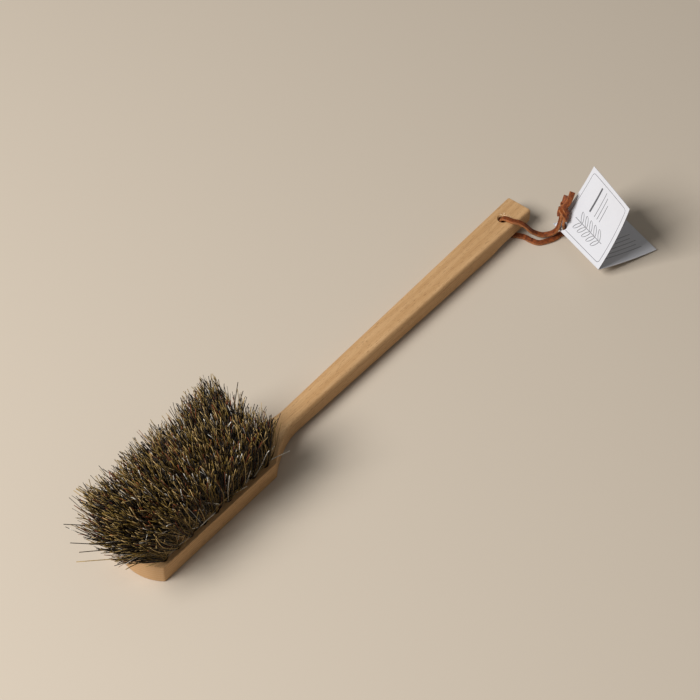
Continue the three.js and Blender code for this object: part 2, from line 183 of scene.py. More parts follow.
class BoardProperties(bpy.types.PropertyGroup):
    """Sizes and colours of the beech board."""

    front_arc: length("Front arc", 0.009, "How far the middle of the front end stands ahead of its corners")
    head_edge: length("Head edge", 0.0006, "Radius of the head's crisp edges")
    shoulder_x: length("Shoulder", 0.070, "Where the head ends and the shoulder begins")
    neck_x: length("Neck", 0.116, "Where the shoulder has run into the handle")
    neck_half_width: length("Neck half width", 0.0086, "Half the handle's width at the neck")
    tip_half_width: length("Tip half width", 0.0126, "Half the handle's width at the tip")
    neck_edge: length("Neck edge", 0.0045, "Radius of the handle's long edges at the neck")
    tip_edge: length("Tip edge", 0.0023, "Radius of the handle's long edges at the tip")
    tip_end: length("Tip end", 0.0010, "Radius of the edges round the sawn tip")
    tip_corner: length("Tip corner", 0.0012, "Radius of the tip's two upright corners")
    relief_start: length("Relief start", 0.372, "Where the underside starts to rise towards the tip")
    relief_end: length("Relief end", 0.394, "Where the underside has risen")
    relief_depth: length("Relief depth", 0.0031, "How far the underside of the tip is planed up")
    hang_hole_x: length("Hanging hole", 0.405, "Place of the hanging hole along the handle")
    hang_hole_radius: length("Hanging hole radius", 0.004, "Radius of the hanging hole")
    hang_hole_chamfer: length("Hanging hole chamfer", 0.0011, "Chamfer at both ends of the hanging hole")
    tuft_hole_radius: length("Tuft hole radius", 0.0041, "Radius of the blind holes")
    tuft_hole_depth: length("Tuft hole depth", 0.012, "Depth of the blind holes")
    pale: tint("Pale wood", (0.650, 0.402, 0.196), "Colour of the pale early wood")
    warm: tint("Warm wood", (0.498, 0.276, 0.114), "Colour of the darker late wood")
    fleck: tint("Flecks", (0.270, 0.125, 0.045), "Colour of the short ray flecks")
    end_grain: tint("End grain", (0.540, 0.340, 0.176), "Colour of the sawn ends")
    chip: tint("Chips", (0.780, 0.610, 0.400), "Colour of the raw wood where the hole's rim is chipped")


class BristleProperties(bpy.types.PropertyGroup):
    """Sizes and colours of the fibre tufts."""

    seed: whole("Seed", 7, "Start of the random draws")
    fibres: whole("Fibres", 190, "Fibres in each tuft")
    loose: whole("Loose fibres", 26, "Bent fibres beside each near tuft")
    fibre_length: length("Fibre length", 0.051, "Length of a fibre above the board")
    fibre_radius: length("Fibre radius", 0.00031, "Usual radius of a fibre at its root")
    root_radius: length("Root radius", 0.0035, "Radius of the bundle in its hole")
    cell_x: length("Cell length", 0.0069, "Half the length of the area that a tuft opens over")
    cell_y: length("Cell width", 0.0078, "Half the width of the area that a tuft opens over")
    lean_centre: length("Lean centre", 0.025, "Place along the head ahead of which fibres lean forward")
    toe_lean: length("Toe lean", 0.040, "How far the foremost fibres lean forward")
    toe_near: length("Toe near", 0.008, "How much further forward the near-side ones lean")
    toe_reach: length("Toe reach", 0.094, "Distance over which the forward lean grows")
    toe_power: share("Toe power", 1.2, "How fast the forward lean grows")
    toe_fan: share("Toe fan", 0.42, "Share of the forward lean that far-side fibres lack")
    toe_aside: length("Toe aside", 0.009, "How far the foremost fibres also lean to the far side")
    heel_lean: length("Heel lean", -0.003, "How far the rearmost fibres lean back")
    heel_fan: length("Heel fan", 0.010, "How much further back the far-side ones lean")
    heel_fan_y: length("Heel fan line", -0.012, "Place across the head where that begins")
    heel_middle: length("Heel middle", 0.011, "How much further back the middle ones lean")
    heel_half: length("Heel half width", 0.010, "How far from the middle line that dies away")
    heel_reach: length("Heel reach", 0.046, "Distance over which the backward lean grows")
    heel_power: share("Heel power", 1.2, "How fast the backward lean grows")
    far_lean: length("Far lean", 0.027, "How far the fibres of the far row lean outward")
    upright_y: length("Upright line", -0.024, "Place across the head where fibres stand upright")
    full_y: length("Full lean line", 0.020, "Place across the head where the outward lean is full")
    far_edge: length("Far edge", 0.025, "Place across the head where fibres count as far-side ones")
    lean_power: share("Lean power", 1.15, "How the lean grows along a fibre")
    parting_half: length("Parting half width", 0.007, "How far from a parting fibres are pushed aside")
    parting_push: length("Parting push", 0.0035, "How far the fibres at a parting lean away from it")
    parting_dip: share("Parting dip", 0.06, "Share by which fibres are shorter in a parting")
    tuft_tilt: length("Tuft tilt", 0.0022, "How far a whole tuft strays from its lean")
    scatter: length("Scatter", 0.0038, "How far fibre tips stray from the tuft's own lean")
    bow: length("Bow", 0.0023, "How far a fibre bows sideways")
    hook: length("Hook", 0.0021, "How far a fibre's last part turns aside")
    far_limit: length("Far limit", 0.0533, "Furthest that a fibre tip reaches to the far side")
    toe_limit: length("Toe limit", -0.099, "Furthest that a fibre tip reaches ahead")
    black: tint("Black", (0.008, 0.005, 0.003), "Colour of the blackest fibres")
    umber: tint("Umber", (0.036, 0.019, 0.008), "Colour of the dark brown fibres")
    olive: tint("Olive", (0.205, 0.129, 0.028), "Colour of the olive fibres")
    straw: tint("Straw", (0.440, 0.296, 0.118), "Colour of the straw fibres")
    russet: tint("Russet", (0.190, 0.046, 0.014), "Colour of the red-brown fibres")
    ash: tint("Ash", (0.450, 0.400, 0.335), "Colour of the pale grey fibres")
    # Partly real bleached fibres, and partly painted light: pale enough to look lit where they lie in shade
    bleached_and_painted_light: tint("Bleached", (0.850, 0.800, 0.700), "Colour of a few almost white fibres")


class LaceProperties(bpy.types.PropertyGroup):
    """Sizes and colours of the leather lace and its knot."""

    width: length("Width", 0.0050, "Width of the flat lace")
    thickness: length("Thickness", 0.0024, "Thickness of the flat lace")
    seed: whole("Seed", 31, "Start of the random draws")
    uneven: share("Unevenness", 0.022, "Share by which the strands' width and thickness wander")
    knot_foot: point("Knot foot", (0.4339, -0.0435, 0.0225), "Where the two strands enter the knot")
    knot_axis: FloatVectorProperty(
        name="Knot axis", description="Way that the knot points", subtype="DIRECTION",
        default=(0.68, 0.19, 0.708),
    )
    tan: tint("Tan", (0.275, 0.064, 0.010), "Colour of the leather's raised grain")
    chestnut: tint("Chestnut", (0.092, 0.017, 0.003), "Colour of the leather's darker patches")
    # The cut edges' colour is also lightened as a painted highlight along the lace's sides
    cut: tint("Cut edge", (0.620, 0.270, 0.100), "Colour of the cut edges")


class TagProperties(bpy.types.PropertyGroup):
    """Sizes and colours of the folded card tag."""

    side: length("Side", 0.065, "Side of the square leaves")
    rear_top: length("Rear top", 0.0030, "How much further up the fold the rear leaf reaches")
    card: length("Card", 0.0004, "Thickness of the card")
    fold: length("Fold", 0.0003, "Radius inside the fold")
    front_lift: angle("Front lift", 56.0, "How steeply the front leaf leaves the fold at its lower end")
    front_top_lift: angle("Front top lift", 45.0, "How steeply the front leaf leaves the fold at its top")
    front_curl: angle("Front curl", 18.0, "How far the front leaf curls up between fold and edge")
    rear_lift: angle("Rear lift", -14.0, "How steeply the rear leaf leaves the fold")
    rear_curl: angle("Rear curl", 11.4, "How far the rear leaf curls up between fold and edge")
    hole_radius: length("Hole radius", 0.0040, "Radius of the punched holes")
    hole_from_top: length("Hole from top", 0.0080, "Distance of the holes from the tag's top edge")
    hole_from_spine: length("Hole from spine", 0.0058, "Distance of the holes from the fold")
    white: tint("White", (0.665, 0.663, 0.690), "Colour of the card")
    ink: tint("Ink", (0.030, 0.030, 0.036), "Colour of the print")


class StageProperties(bpy.types.PropertyGroup):
    """The floor, the light and the camera."""

    floor: tint("Floor", (0.600, 0.515, 0.415), "Colour of the floor")
    key_place: point("Key place", (-1.93, 0.815, 2.148), "Place of the lamp, from the middle of the brush")
    key_size: length("Key size", 1.5, "Side of the large soft lamp")
    key_power: share("Key", 110.0, "Power of the large soft lamp")
    sky: share("Sky", 0.17, "Strength of the even light from all round")
    sky_tint: tint("Sky tint", (1.0, 0.99, 0.97), "Colour of the even light")
    target: point("Target", (0.2118, 0.0160, 0.0), "Point that the camera looks at")
    eye: point("Eye", (-0.6485, -0.6932, 1.2742), "Place of the camera")
    lens: FloatProperty(name="Lens", description="Focal length in millimetres", default=102.86)


class BrushProperties(bpy.types.PropertyGroup):
    """Everything that a user would change on the brush."""

    board: PointerProperty(type=BoardProperties)
    bristles: PointerProperty(type=BristleProperties)
    lace: PointerProperty(type=LaceProperties)
    tag: PointerProperty(type=TagProperties)
    stage: PointerProperty(type=StageProperties)


class Value:
    """A node's output that Python arithmetic works on: each operation adds one Math node."""

    def __init__(self, finish, socket):
        self.finish = finish
        self.socket = socket

    def math(self, operation, *others):
        """This value and others through one Math node."""
        inputs = dict(enumerate((self, *others)))
        return self.finish.node("ShaderNodeMath", {"operation": operation}, inputs)

    def reflected(self, operation, other):
        """A number and this value, in that order, through one Math node."""
        return self.finish.node("ShaderNodeMath", {"operation": operation}, {0: other, 1: self})

    def __add__(self, other):
        return self.math("ADD", other)

    def __radd__(self, other):
        return self.math("ADD", other)

    def __sub__(self, other):
        return self.math("SUBTRACT", other)

    def __rsub__(self, other):
        return self.reflected("SUBTRACT", other)

    def __mul__(self, other):
        return self.math("MULTIPLY", other)

    def __rmul__(self, other):
        return self.math("MULTIPLY", other)

    def __truediv__(self, other):
        return self.math("DIVIDE", other)

    def __rtruediv__(self, other):
        return self.reflected("DIVIDE", other)

    def __pow__(self, other):
        return self.math("POWER", other)

    def __abs__(self):
        return self.math("ABSOLUTE")

    def __lt__(self, other):
        return self.math("LESS_THAN", other)

    def __gt__(self, other):
        return self.math("GREATER_THAN", other)


class Finish:
    """One procedural material: a Principled shader and the nodes that feed it."""

    def __init__(self, name, **constants):
        self.material = bpy.data.materials.new(name)
        self.material.use_nodes = True
        self.tree = self.material.node_tree
        self.shader = self.tree.nodes["Principled BSDF"]
        self.paint(**constants)

    def feed(self, socket, value):
        """Links a value to a socket, or sets the socket's own number or colour."""
        if isinstance(value, Value):
            self.tree.links.new(value.socket, socket)
            return
        if socket.type == "RGBA":
            value = (*value[:3], 1.0)
        socket.default_value = value

    def node(self, kind, settings=None, inputs=None, output=0):
        """Adds one node, with its settings first and then its sockets, and returns one output."""
        made = self.tree.nodes.new(kind)
        for key, value in (settings or {}).items():
            if key == "stops":
                self.set_stops(made.color_ramp, value)
            else:
                setattr(made, key, value)
        for key, value in (inputs or {}).items():
            self.feed(made.inputs[key], value)
        return Value(self, made.outputs[output])

    def set_stops(self, ramp, stops):
        """Gives a colour ramp its stops, each a place and a grey or a colour."""
        while len(ramp.elements) < len(stops):
            ramp.elements.new(1.0)
        for element, (place, colour) in zip(ramp.elements, stops):
            element.position = place
            element.color = (*colour, 1.0) if isinstance(colour, tuple) else (colour, colour, colour, 1.0)

    def millimetres(self):
        """The point on the surface in the brush's own frame, in millimetres."""
        return self.enlarge(self.node("ShaderNodeTexCoord", output="Object"))

    def enlarge(self, vector):
        """A vector in metres as one in millimetres."""
        return self.stretch(vector, (1 / MM, 1 / MM, 1 / MM))

    def stretch(self, vector, factors):
        """A vector times three factors."""
        return self.node("ShaderNodeVectorMath", {"operation": "MULTIPLY"}, {0: vector, 1: factors})

    def split(self, vector):
        """The three parts of a vector, as values."""
        return [self.node("ShaderNodeSeparateXYZ", inputs={0: vector}, output=axis) for axis in "XYZ"]

    def noise(self, where, scale, detail=2.0, roughness=0.5, distortion=0.0):
        """Smooth noise from about 0.2 to 0.8; a tuple as scale gives each axis its own."""
        if isinstance(scale, tuple):
            where = self.stretch(where, scale)
            scale = 1.0
        inputs = {"Vector": where, "Scale": scale, "Detail": detail}
        inputs |= {"Roughness": roughness, "Distortion": distortion}
        return self.node("ShaderNodeTexNoise", inputs=inputs)

    def step(self, value, low, high):
        """0 below low, 1 above high, and a smooth rise between; it falls where low is above high."""
        settings = {"interpolation_type": "SMOOTHSTEP"}
        if low < high:
            return self.node("ShaderNodeMapRange", settings, {0: value, 1: low, 2: high})
        return 1 - self.node("ShaderNodeMapRange", settings, {0: value, 1: high, 2: low})

    def mix(self, factor, first, second, blend="MIX"):
        """One colour over another."""
        settings = {"data_type": "RGBA", "blend_type": blend}
        return self.node("ShaderNodeMix", settings, {0: factor, 6: first, 7: second}, output=2)

    def attribute(self, name, output="Fac"):
        """A value or colour that the mesh carries at each point."""
        return self.node("ShaderNodeAttribute", {"attribute_name": name}, output=output)

    def bump(self, height, distance, strength=1.0):
        """A normal that follows a height from 0 to 1, which stands for that distance in metres."""
        inputs = {"Strength": strength, "Distance": distance, "Height": height}
        return self.node("ShaderNodeBump", inputs=inputs, output="Normal")

    def paint(self, **links):
        """Feeds the shader's own sockets."""
        for key, value in links.items():
            self.feed(self.shader.inputs[key.replace("_", " ")], value)
        return self


def beech_finish(board):
    """Planed beech: straight grain along X, faint rings, short ray flecks, sawn ends and a chipped hole."""
    wood = Finish("planed_beech", Specular_IOR_Level=0.3)
    here = wood.millimetres()
    x, y, z = wood.split(here)
    facing = wood.node("ShaderNodeTexCoord", output="Normal")
    face_x, face_y, face_z = (abs(part) for part in wood.split(facing))

    # Growth rings round the heart of the tree, which lay beside the board and below it
    heart_aside = 13.0
    heart_below = 46.0
    heart_wander = 12.0
    turn_per_mm = 2.3
    wander = wood.noise(here, (0.006, 0.03, 0.03))
    ring_y = y + heart_aside + heart_wander * wander
    ring_z = z + heart_below
    ring = ((ring_y * ring_y + ring_z * ring_z) ** 0.5) * turn_per_mm
    rings = ring.math("SINE") * 0.5 + 0.5

    # Grain along the board, from broad to fine
    drift = wood.noise(here, (0.012, 0.11, 0.11))
    streaks = wood.noise(here, (0.024, 1.5, 1.5), detail=3.0, roughness=0.6)
    threads = wood.noise(here, (0.05, 5.6, 5.6), roughness=0.6)
    flecks = wood.step(wood.noise(here, (0.20, 2.3, 2.3), detail=1.0), 0.615, 0.69)

    tone = 0.34 * drift + 0.12 * rings + 0.58 * streaks + 0.46 * threads
    colour = wood.mix(wood.step(tone, 0.50, 0.98), board.pale, board.warm)
    colour = wood.mix(0.58 * flecks, colour, board.fleck)

    saw_marks = wood.noise(here, (0.4, 0.5, 2.6), detail=3.0, roughness=0.7, distortion=0.6)
    end_pores = wood.noise(here, (1.0, 3.4, 3.4), roughness=0.7)
    end_tone = 0.25 * rings + 0.5 * end_pores + 0.45 * saw_marks
    end_colour = wood.mix(wood.step(end_tone, 0.42, 0.86), board.end_grain, board.warm)
    sawn = wood.step(face_x, 0.55, 0.8)
    colour = wood.mix(sawn, colour, end_colour)

    # Handling polishes and darkens the rounded edges of the handle
    worn = wood.step(face_y * face_z, 0.22, 0.48) * wood.step(x, 85.0, 130.0)
    colour = wood.mix(0.10 * worn, colour, board.fleck)

    # The drill has torn the rim of the hanging hole on the side of the tip
    from_hole_x = x - board.hang_hole_x / MM
    from_hole = (from_hole_x * from_hole_x + y * y) ** 0.5
    torn = wood.step(from_hole, 9.0, 6.0) * wood.step(from_hole, 4.2, 4.8) * wood.step(from_hole_x, 1.0, 3.0)
    splinters = wood.noise(here, (0.9, 1.3, 1.3))
    colour = wood.mix(torn * wood.step(splinters, 0.56, 0.62), colour, board.chip)
    colour = wood.mix(0.8 * torn * wood.step(splinters, 0.40, 0.35), colour, board.fleck)

    grain = 0.6 * streaks + 0.5 * threads + 0.5 * sawn * saw_marks
    roughness = 0.62 - 0.14 * worn - 0.12 * drift + 0.14 * threads
    return wood.paint(Base_Color=colour, Roughness=roughness, Normal=wood.bump(grain, 0.0002, 0.5))


def fibre_finish():
    """Plant fibre in its own colours, with painted root shade and tip highlight, mottled along its length."""
    fibre = Finish("plant_fibre", Specular_IOR_Level=0.28)
    here = fibre.millimetres()
    mottle = fibre.noise(here, (0.9, 0.9, 0.28), detail=3.0)
    # This colour carries the painted shade towards each fibre's root and the painted highlight at its tip
    own = fibre.attribute("fibre_colour", output="Color")
    shade = fibre.node("ShaderNodeValToRGB", {"stops": ((0.30, 0.55), (0.70, 1.25))}, {0: mottle})
    colour = fibre.mix(1.0, own, shade, blend="MULTIPLY")
    return fibre.paint(Base_Color=colour, Roughness=0.45 + 0.30 * mottle)


def leather_finish(lace):
    """Chestnut leather: pebbled grain, patchy dye, and paler cut edges, lightened further as painted
    highlight.
    """
    leather = Finish("chestnut_leather", Specular_IOR_Level=0.32)
    here = leather.millimetres()
    patches = leather.noise(here, 0.38, detail=3.0)
    pebbles = leather.noise(here, 2.2, detail=3.0, roughness=0.6)
    scuffs = leather.step(leather.noise(here, 0.8, detail=4.0, roughness=0.7), 0.55, 0.66)
    edge = leather.attribute("cut_edge")
    dye = leather.step(0.6 * patches + 0.4 * pebbles, 0.38, 0.62)
    colour = leather.mix(dye, lace.chestnut, lace.tan)
    colour = leather.mix(0.18 * scuffs, colour, lace.cut)
    # The strip's sides are paler where the leather was cut, and paler still as a painted highlight
    frayed_edge_and_highlight = leather.step(edge, 0.35, 0.9) * leather.step(pebbles, 0.36, 0.56)
    colour = leather.mix(0.58 * frayed_edge_and_highlight, colour, lace.cut)
    roughness = 0.48 + 0.18 * pebbles + 0.14 * edge
    return leather.paint(Base_Color=colour, Roughness=roughness, Normal=leather.bump(pebbles, 0.0005, 0.7))


def wire_finish():
    """Drawn steel wire, flattened, with faint marks along it."""
    wire = Finish("anchor_wire", Metallic=1.0)
    here = wire.millimetres()
    marks = wire.noise(here, (0.4, 9.0, 9.0))
    dull = (0.42, 0.43, 0.44)
    bright = (0.66, 0.67, 0.68)
    colour = wire.mix(marks, dull, bright)
    return wire.paint(Base_Color=colour, Roughness=0.28 + 0.24 * marks)


def card_finish(tag):
    """Smooth white card with a plain printed frame, a sprig and a few rules on its front."""
    card = Finish("white_card", Specular_IOR_Level=0.3)
    here = card.millimetres()
    pulp = card.noise(here, 1.4, detail=4.0, roughness=0.65)
    cloud = card.noise(here, 0.08)
    evenness = 0.5 * pulp + 0.5 * cloud
    shade = card.node("ShaderNodeValToRGB", {"stops": ((0.25, 0.955), (0.75, 1.0))}, {0: evenness})
    paper = card.mix(1.0, tag.white, shade, blend="MULTIPLY")
    where = card.node("ShaderNodeUVMap", {"uv_map": "print"})
    across, along, _ = card.split(card.enlarge(where))
    outer = card.attribute("outer_face")
    front = outer * (across > 0.0) * front_design(card, across, along, tag)
    rear = (1 - outer) * (across < 0.0) * rear_rules(card, 0 - across, along)
    ink = front + 0.6 * rear
    colour = card.mix(0.88 * ink, paper, tag.ink)
    roughness = 0.62 + 0.16 * pulp - 0.1 * ink
    return card.paint(Base_Color=colour, Roughness=roughness, Normal=card.bump(pulp, 0.00006, 0.5))


def inked_line(card, value, middle, half):
    """Ink where a value is near its middle, with a soft edge."""
    soft = 0.06
    return card.step(abs(value - middle), half + soft, half - soft)


def between(value, low, high):
    """1 between two limits."""
    return (value > low) * (value < high)


def front_design(card, across, along, tag):
    """Ink from 0 to 1 on the front leaf: a thin frame, a sprig at the left and rules at the right."""
    side = tag.side / MM
    inset = 4.0
    corner = 3.0
    border_half = 0.22
    frame_x = abs(across - side / 2) - (side / 2 - inset - corner)
    frame_y = abs(along - side / 2) - (side / 2 - inset - corner)
    round_x = frame_x.math("MAXIMUM", 0.0)
    round_y = frame_y.math("MAXIMUM", 0.0)
    outside = (round_x * round_x + round_y * round_y) ** 0.5
    inside = frame_x.math("MAXIMUM", frame_y).math("MINIMUM", 0.0)
    border = inked_line(card, outside + inside, corner, border_half)

    stem_at = 19.0
    stem_foot = 12.0
    stem_length = 40.0
    stem_half = 0.26
    up = along - stem_foot
    aside = abs(across - stem_at)
    stem = inked_line(card, across, stem_at, stem_half) * between(up, 0.0, stem_length)

    # Pairs of outlined leaves, at one spacing up the stem, each climbing as it leaves it
    spacing = 6.6
    climb = 0.6
    reach = 8.6
    first_leaf = 0.8
    fullness = 0.062
    rim_outside = 0.062
    rim_inside = 0.034
    stem_gap = 0.4
    bare_foot = 0.9
    bare_top = 5.6
    root = up - climb * aside
    turn = (root - first_leaf) / spacing
    place = turn - turn.math("FLOOR") - 0.5
    swell = (aside * (reach - aside)).math("MAXIMUM", 0.0) ** 0.5 * fullness
    rim = card.step(abs(abs(place) - swell), rim_outside, rim_inside)
    leaves = rim * between(aside, stem_gap, reach) * between(root, bare_foot, stem_length - bare_top)

    # One thick rule over three thin ones: height, half thickness and right end of each
    rule_start = 32.0
    bars = ((42.0, 1.0, 57.0), (34.5, 0.3, 57.0), (30.5, 0.3, 54.0), (26.5, 0.3, 49.0))
    rules = 0.0
    for height, half, rule_end in bars:
        rules = inked_line(card, along, height, half) * between(across, rule_start, rule_end) + rules
    return (border + stem + leaves + rules).math("MINIMUM", 1.0)


def rear_rules(card, across, along):
    """Ink from 0 to 1 inside the rear leaf: a few plain rules of two lengths."""
    lowest = 10.0
    spacing = 4.4
    half = 0.4
    start = 9.0
    ends = (56.0, 53.0)
    rules = 0.0
    for number in range(5):
        rule = inked_line(card, along, lowest + spacing * number, half)
        rules = rule * between(across, start, ends[number % 2]) + rules
    return rules


def floor_finish(stage):
    """A plain pale floor."""
    return Finish("pale_floor", Base_Color=stage.floor, Roughness=0.9, Specular_IOR_Level=0.1)


def new_object(name, data):
    """An object in the scene that holds a mesh, a lamp or a camera."""
    made = bpy.data.objects.new(name, data)
    bpy.context.scene.collection.objects.link(made)
    return made


def new_mesh(name, points, faces):
    """A mesh from points and faces."""
    mesh = bpy.data.meshes.new(name)
    mesh.from_pydata(np.asarray(points, float).tolist(), [], faces)
    return mesh


def new_piece(name, points, faces, finish):
    """A mesh object from points and faces, in the brush's frame."""
    mesh = new_mesh(name, points, faces)
    mesh.update()
    mesh.materials.append(finish.material)
    mesh.shade_smooth()
    return new_object(name, mesh)


def settle(piece):
    """Puts what the piece's modifiers make in place of its mesh."""
    graph = bpy.context.evaluated_depsgraph_get()
    made = bpy.data.meshes.new_from_object(
        piece.evaluated_get(graph), preserve_all_data_layers=True, depsgraph=graph
    )
    piece.modifiers.clear()
    piece.data = made


def cut(piece, points, faces):
    """Cuts a closed mesh out of a piece."""
    cutter = new_object("cutter", new_mesh("cutter", points, faces))
    modifier = piece.modifiers.new("cut", "BOOLEAN")
    modifier.operation = "DIFFERENCE"
    modifier.solver = "EXACT"
    modifier.object = cutter
    settle(piece)
    bpy.data.objects.remove(cutter)


def crisp(piece, degrees):
    """Smooth shading with sharp edges above an angle, and large flat faces that stay flat."""
    piece.data.shade_smooth()
    piece.data.set_sharp_from_angle(angle=math.radians(degrees))
    weighted = piece.modifiers.new("weighted", "WEIGHTED_NORMAL")
    weighted.keep_sharp = True


def put_value(piece, name, values, kind="FLOAT", field="value"):
    """Stores a value or colour at each of the mesh's points."""
    attribute = piece.data.attributes.new(name, kind, "POINT")
    attribute.data.foreach_set(field, np.asarray(values, np.float32).ravel())


def put_uv(piece, name, corners):
    """Stores a UV map, one pair for each face corner."""
    layer = piece.data.uv_layers.new(name=name)
    layer.data.foreach_set("uv", np.asarray(corners, np.float32).ravel())


def smooth(t):
    """An even rise from 0 to 1."""
    t = np.clip(t, 0.0, 1.0)
    return t * t * (3 - 2 * t)


def board_half_width(board, x):
    """Half the board's width: full on the head, a concave shoulder, then a slow flare to the tip."""
    if x <= board.shoulder_x:
        return BOARD_HIGH.y
    along_handle = max(0.0, (x - board.neck_x) / (BOARD_HIGH.x - board.neck_x))
    along_shoulder = max(0.0, (board.neck_x - x) / (board.neck_x - board.shoulder_x))
    flare = (board.tip_half_width - board.neck_half_width) * along_handle
    return board.neck_half_width + flare + (BOARD_HIGH.y - board.neck_half_width) * along_shoulder**2


def rounded(distance, radius):
    """How far a rounded edge draws in at a distance from the face that it ends at."""
    short = radius - min(distance, radius)
    return radius - math.sqrt(radius**2 - short**2)


def long_edge_radius(board, x):
    """Radius of the board's long edges: crisp on the head, soft at the neck, less soft at the tip."""
    along_handle = max(0.0, (x - board.neck_x) / (BOARD_HIGH.x - board.neck_x))
    handle_edge = board.neck_edge + (board.tip_edge - board.neck_edge) * along_handle
    rounding = smooth((x - board.shoulder_x) / (board.neck_x - board.shoulder_x))
    return board.head_edge + (handle_edge - board.head_edge) * rounding


def board_ring(board, x):
    """The board's section at x: its upper line from +Y to -Y, then its lower line back."""
    corner_steps = 6
    columns = 14
    front_inset = rounded(x - BOARD_LOW.x, board.head_edge)
    half_width = board_half_width(board, x) - front_inset - rounded(BOARD_HIGH.x - x, board.tip_corner)
    inset = front_inset + rounded(BOARD_HIGH.x - x, board.tip_end)
    span = board.relief_end - board.relief_start
    low = board.relief_depth * smooth((x - board.relief_start) / span) + inset
    high = BOARD_HIGH.z - inset
    radius = long_edge_radius(board, x)
    turn = np.linspace(0, math.pi / 2, corner_steps + 1)
    flat = np.linspace(1, -1, columns + 1)[1:-1] * (half_width - radius)
    right = half_width - radius + radius * np.cos(turn)
    y = np.concatenate([right, flat, -right[::-1]])
    fall = radius - radius * np.sin(turn)
    drop = np.concatenate([fall, np.zeros(columns - 1), fall[::-1]])
    arc_radius = (BOARD_HIGH.y**2 + board.front_arc**2) / (2 * board.front_arc)
    arc = arc_radius - np.sqrt(arc_radius**2 - np.minimum(np.abs(y), BOARD_HIGH.y) ** 2)
    fade = np.clip((board.shoulder_x - x) / (board.shoulder_x - BOARD_LOW.x), 0, 1)
    across = np.concatenate([y, y[::-1]])
    along = x + fade * np.concatenate([arc, arc[::-1]])
    height = np.concatenate([high - drop, (low + drop)[::-1]])
    return np.column_stack([along, across, height])


def board_stations(board):
    """Places of the board's sections, close together where the two ends are rounded."""
    front_steps = 7
    tip_steps = 13
    front_turn = np.linspace(0, math.pi / 2, front_steps)
    tip_turn = np.linspace(0, math.pi / 2, tip_steps)
    # Where each stretch between the two ends stops, and how many sections it has
    stretches = ((board.shoulder_x, 12), (board.neck_x, 27), (board.relief_start, 18), (board.relief_end, 11))
    places = [BOARD_LOW.x + board.head_edge * (1 - math.cos(turn)) for turn in front_turn]
    for end, count in stretches:
        places += np.linspace(places[-1], end, count)[1:].tolist()
    return places + [BOARD_HIGH.x - board.tip_corner * (1 - math.sin(turn)) for turn in tip_turn]


def loft(rings):
    """Points and faces of a closed skin over rings whose lower half mirrors the upper."""
    count = len(rings[0])
    faces = []
    for i in range(len(rings) - 1):
        for j in range(count):
            k = (j + 1) % count
            faces.append((i * count + j, (i + 1) * count + j, (i + 1) * count + k, i * count + k))
    last = (len(rings) - 1) * count
    for j in range(count // 2 - 1):
        mirror = count - 1 - j
        faces.append((j, j + 1, mirror - 1, mirror))
        faces.append((last + j + 1, last + j, last + mirror, last + mirror - 1))
    return np.concatenate(rings), faces


def tube(rings, sides):
    """Faces of a closed tube over rings of equal count, and each corner's place in a unit square."""
    faces = []
    corners = []
    for ring in range(rings - 1):
        foot = ring * sides
        for side in range(sides):
            after = (side + 1) % sides
            faces.append((foot + side, foot + after, foot + sides + after, foot + sides + side))
            corners += [
                (u / sides, v / (rings - 1))
                for u, v in ((side, ring), (side + 1, ring), (side + 1, ring + 1), (side, ring + 1))
            ]
    last = (rings - 1) * sides
    faces.append(tuple(reversed(range(sides))))
    faces.append(tuple(range(last, last + sides)))
    corners += [(side / sides, 0.0) for side in reversed(range(sides))]
    corners += [(side / sides, 1.0) for side in range(sides)]
    return faces, corners


def turned(profile, centre, sides, axes=np.eye(3)):
    """Points and faces of a plug turned about the last of its axes, from radius and height pairs."""
    turn = np.linspace(0, 2 * math.pi, sides, endpoint=False)
    circle = np.cos(turn)[:, None] * axes[0] + np.sin(turn)[:, None] * axes[1]
    rings = [np.asarray(centre) + radius * circle + height * axes[2] for radius, height in profile]
    return np.concatenate(rings), tube(len(profile), sides)[0]


def joined(parts):
    """Several sets of points and faces as one."""
    points = []
    faces = []
    count = 0
    for part_points, part_faces in parts:
        points.append(part_points)
        faces += [tuple(index + count for index in face) for face in part_faces]
        count += len(part_points)
    return np.concatenate(points), faces


def tuft_places():
    """The name, the row and the middle of each tuft's wire anchor."""
    places = []
    for node in sorted(frame["nodes"]):
        if node.startswith("anchor_"):
            low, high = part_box(node)
            key = node.removeprefix("anchor_")
            places.append((key, key.split("_")[0], (low + high) / 2, high.z))
    return places


def drilled_holes(board):
    """The plugs that the board's blind holes and hanging hole are cut with."""
    top = BOARD_HIGH.z
    past = 0.002
    rim = 0.0004
    blind_sides = 28
    through_sides = 40
    radius = board.tuft_hole_radius
    blind = [(radius, top - board.tuft_hole_depth), (radius, top - rim), (radius + rim + past, top + past)]
    plugs = [turned(blind, (centre.x, centre.y, 0.0), blind_sides) for _, _, centre, _ in tuft_places()]
    radius = board.hang_hole_radius
    wide = radius + board.hang_hole_chamfer + past
    through = [
        (wide, board.relief_depth - past),
        (radius, board.relief_depth + board.hang_hole_chamfer),
        (radius, top - board.hang_hole_chamfer),
        (wide, top + past),
    ]
    plugs.append(turned(through, (board.hang_hole_x, 0.0, 0.0), through_sides))
    return joined(plugs)


class BOOTBRUSH_OT_board(bpy.types.Operator):
    """Builds the beech board with its drilled holes"""

    bl_idname = "boot_brush.board"
    bl_label = "Beech Board"

    def execute(self, context):
        board = context.scene.boot_brush.board
        sharp_above = 32
        rings = [board_ring(board, x) for x in board_stations(board)]
        piece = new_piece("planed_board", *loft(rings), beech_finish(board))
        cut(piece, *drilled_holes(board))
        crisp(piece, sharp_above)
        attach(piece, "brush")
        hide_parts("beech_board")
        return {"FINISHED"}


def parting(bristles, x, y):
    """How far the partings push fibres rooted at (x, y) along the head, and how deep they lie in one."""
    steepness = 3
    far = smooth(y / bristles.far_edge)
    push = 0.0
    depth = 0.0
    for place in PARTINGS:
        off = (x - place) / bristles.parting_half
        near_by = np.exp(-off * off)
        push = push + np.tanh(steepness * off) * near_by
        depth = depth + near_by
    return bristles.parting_push * push * far, depth * far


